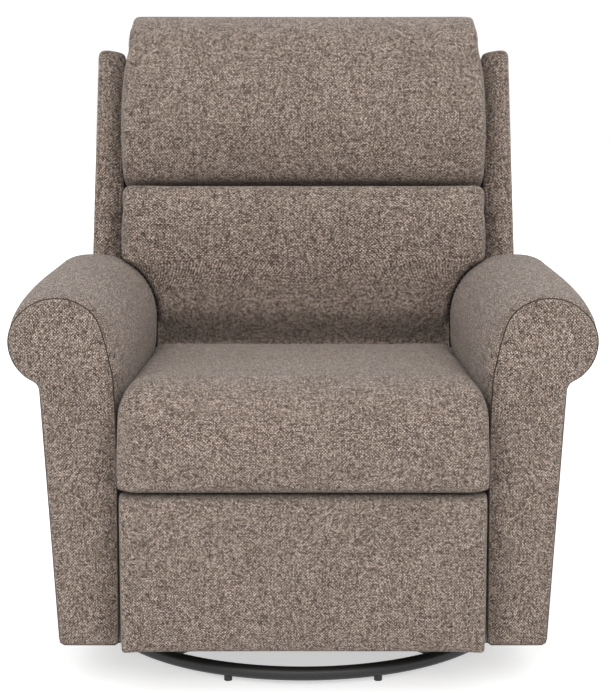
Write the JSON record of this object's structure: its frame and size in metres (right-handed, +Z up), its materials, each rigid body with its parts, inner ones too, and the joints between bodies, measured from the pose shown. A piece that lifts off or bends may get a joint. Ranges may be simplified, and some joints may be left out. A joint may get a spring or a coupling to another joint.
{
  "type": "swivel glider recliner",
  "caption": "Upholstered armchair with winged leaning back and built-in footrest that swivels on a tube ring base, glides on hanging links and reclines.",
  "frame": {"origin": "on the floor, under the middle of the chair as it stands closed and upright", "axes": "+Z up, -Y towards the front where the sitter faces, +X towards the sitter's left"},
  "size_m": [0.915, 0.9198, 1.071],
  "materials": {
    "upholstery": "matt coarse heathered weave",
    "black_steel": "satin black powder coat",
    "zinc_steel": "zinc plated",
    "frame_wood": "raw plywood and hardwood",
    "black_plastic": "matt",
    "webbing": "woven elastic"
  },
  "bodies": {
    "base": {"base_ring": "black_steel", "base_spokes": "black_steel", "ring_feet": "black_plastic", "base_hub": "black_steel", "swivel_lower_race": "zinc_steel", "swivel_bearing": "black_plastic", "king_bolt": "zinc_steel"},
    "turntable": {"swivel_upper_race": "zinc_steel", "turntable_plate": "black_steel", "glider_frame": "black_steel", "glider_tower_left": "black_steel", "glider_tower_right": "black_steel"},
    "front_links": {"glide_links_front": "zinc_steel"},
    "rear_links": {"glide_links_rear": "zinc_steel"},
    "chassis": {"glider_hanger_left": "black_steel", "glider_hanger_right": "black_steel", "cross_tubes": "black_steel", "seat_track_left": "black_steel", "seat_track_right": "black_steel", "arm_frame_left": "frame_wood", "arm_frame_right": "frame_wood", "arm_cover_left": "upholstery", "arm_cover_right": "upholstery", "arm_front_panel_left": "upholstery", "arm_front_panel_right": "upholstery", "back_hinge_plate_left": "zinc_steel", "back_hinge_plate_right": "zinc_steel", "base_side_panel_left": "upholstery", "base_side_panel_right": "upholstery", "base_rear_panel": "upholstery", "release_lever_pin": "zinc_steel"},
    "release": {"release_lever": "zinc_steel"},
    "seat": {"seat_side_plate_left": "zinc_steel", "seat_side_plate_right": "zinc_steel", "seat_rail_left": "frame_wood", "seat_rail_right": "frame_wood", "seat_end_rails": "frame_wood", "seat_springs": "zinc_steel", "seat_cushion": "upholstery"},
    "drive": {"footrest_drive_shaft": "zinc_steel", "footrest_drive_bars": "zinc_steel"},
    "guide": {"footrest_guide_bars": "zinc_steel"},
    "long_bars": {"footrest_long_bars": "zinc_steel"},
    "second_bars": {"footrest_second_bars": "zinc_steel"},
    "front_bars": {"footrest_front_bars": "zinc_steel"},
    "footrest": {"footrest_brackets": "zinc_steel", "footrest_board": "frame_wood", "footrest_cushion": "upholstery"},
    "back": {"back_bracket_left": "zinc_steel", "back_bracket_right": "zinc_steel", "back_post_left": "frame_wood", "back_post_right": "frame_wood", "back_rails": "frame_wood", "back_webbing": "webbing", "back_wing_left": "upholstery", "back_wing_right": "upholstery", "outside_back_panel": "upholstery", "lumbar_cushion": "upholstery", "head_cushion": "upholstery"}
  },
  "joints": [
    {"name": "swivel", "type": "hinge", "parent": "base", "child": "turntable", "pos_m": [0, -0.0767, 0.04], "axis": [0, 0, 1], "continuous": true},
    {"name": "glide", "type": "hinge", "parent": "turntable", "child": "front_links", "pos_m": [0, -0.1767, 0.215], "axis": [1, 0, 0], "range_deg": [-25, 25]},
    {"name": "chassis_level", "type": "hinge", "parent": "front_links", "child": "chassis", "pos_m": [0, -0.1767, 0.115], "axis": [1, 0, 0], "range_deg": [-25.5, 25.5]},
    {"name": "glide_rear_links", "type": "hinge", "parent": "turntable", "child": "rear_links", "pos_m": [0, 0.0233, 0.215], "axis": [1, 0, 0], "range_deg": [-25.5, 25.5]},
    {"name": "back_recline", "type": "hinge", "parent": "chassis", "child": "back", "pos_m": [0, 0.10601, 0.363], "axis": [-1, 0, 0], "range_deg": [0, 27]},
    {"name": "seat_slide", "type": "slide", "parent": "chassis", "child": "seat", "axis": [0, -1, 0], "range_m": [0, 0.0301]},
    {"name": "footrest_open", "type": "hinge", "parent": "seat", "child": "drive", "pos_m": [0, -0.2, 0.264], "axis": [-1, 0, 0], "range_deg": [0, 88]},
    {"name": "guide_turn", "type": "hinge", "parent": "drive", "child": "guide", "pos_m": [0, -0.19555, 0.17912], "axis": [-1, 0, 0], "range_deg": [-103, 1]},
    {"name": "long_bar_turn", "type": "hinge", "parent": "drive", "child": "long_bars", "pos_m": [0, -0.1911, 0.09423], "axis": [-1, 0, 0], "range_deg": [-103, 1]},
    {"name": "second_bar_turn", "type": "hinge", "parent": "long_bars", "child": "second_bars", "pos_m": [0, -0.24519, 0.13866], "axis": [-1, 0, 0], "range_deg": [-1, 103]},
    {"name": "footrest_turn", "type": "hinge", "parent": "long_bars", "child": "footrest", "pos_m": [0, -0.38583, 0.25418], "axis": [-1, 0, 0], "range_deg": [-1, 103]},
    {"name": "front_bar_turn", "type": "hinge", "parent": "second_bars", "child": "front_bars", "pos_m": [0, -0.24101, 0.05877], "axis": [-1, 0, 0], "range_deg": [-103, 1]},
    {"name": "release_pull", "type": "hinge", "parent": "chassis", "child": "release", "pos_m": [-0.2878, -0.12, 0.3], "axis": [-1, 0, 0], "range_deg": [0, 15], "stiffness_Nm_per_rad": 1.5, "springref_deg": -5.73}
  ],
  "couplings": [
    {"joint": "chassis_level", "follows": "glide", "ratio": -1},
    {"joint": "glide_rear_links", "follows": "glide", "ratio": 1},
    {"joint": "seat_slide", "follows": "back_recline", "m_per_rad": 0.063662},
    {"joint": "guide_turn", "follows": "footrest_open", "ratio": -1.1636},
    {"joint": "long_bar_turn", "follows": "footrest_open", "ratio": -1.1636},
    {"joint": "second_bar_turn", "follows": "footrest_open", "ratio": 1.1636},
    {"joint": "footrest_turn", "follows": "footrest_open", "ratio": 1.1636},
    {"joint": "front_bar_turn", "follows": "footrest_open", "ratio": -1.1636}
  ]
}
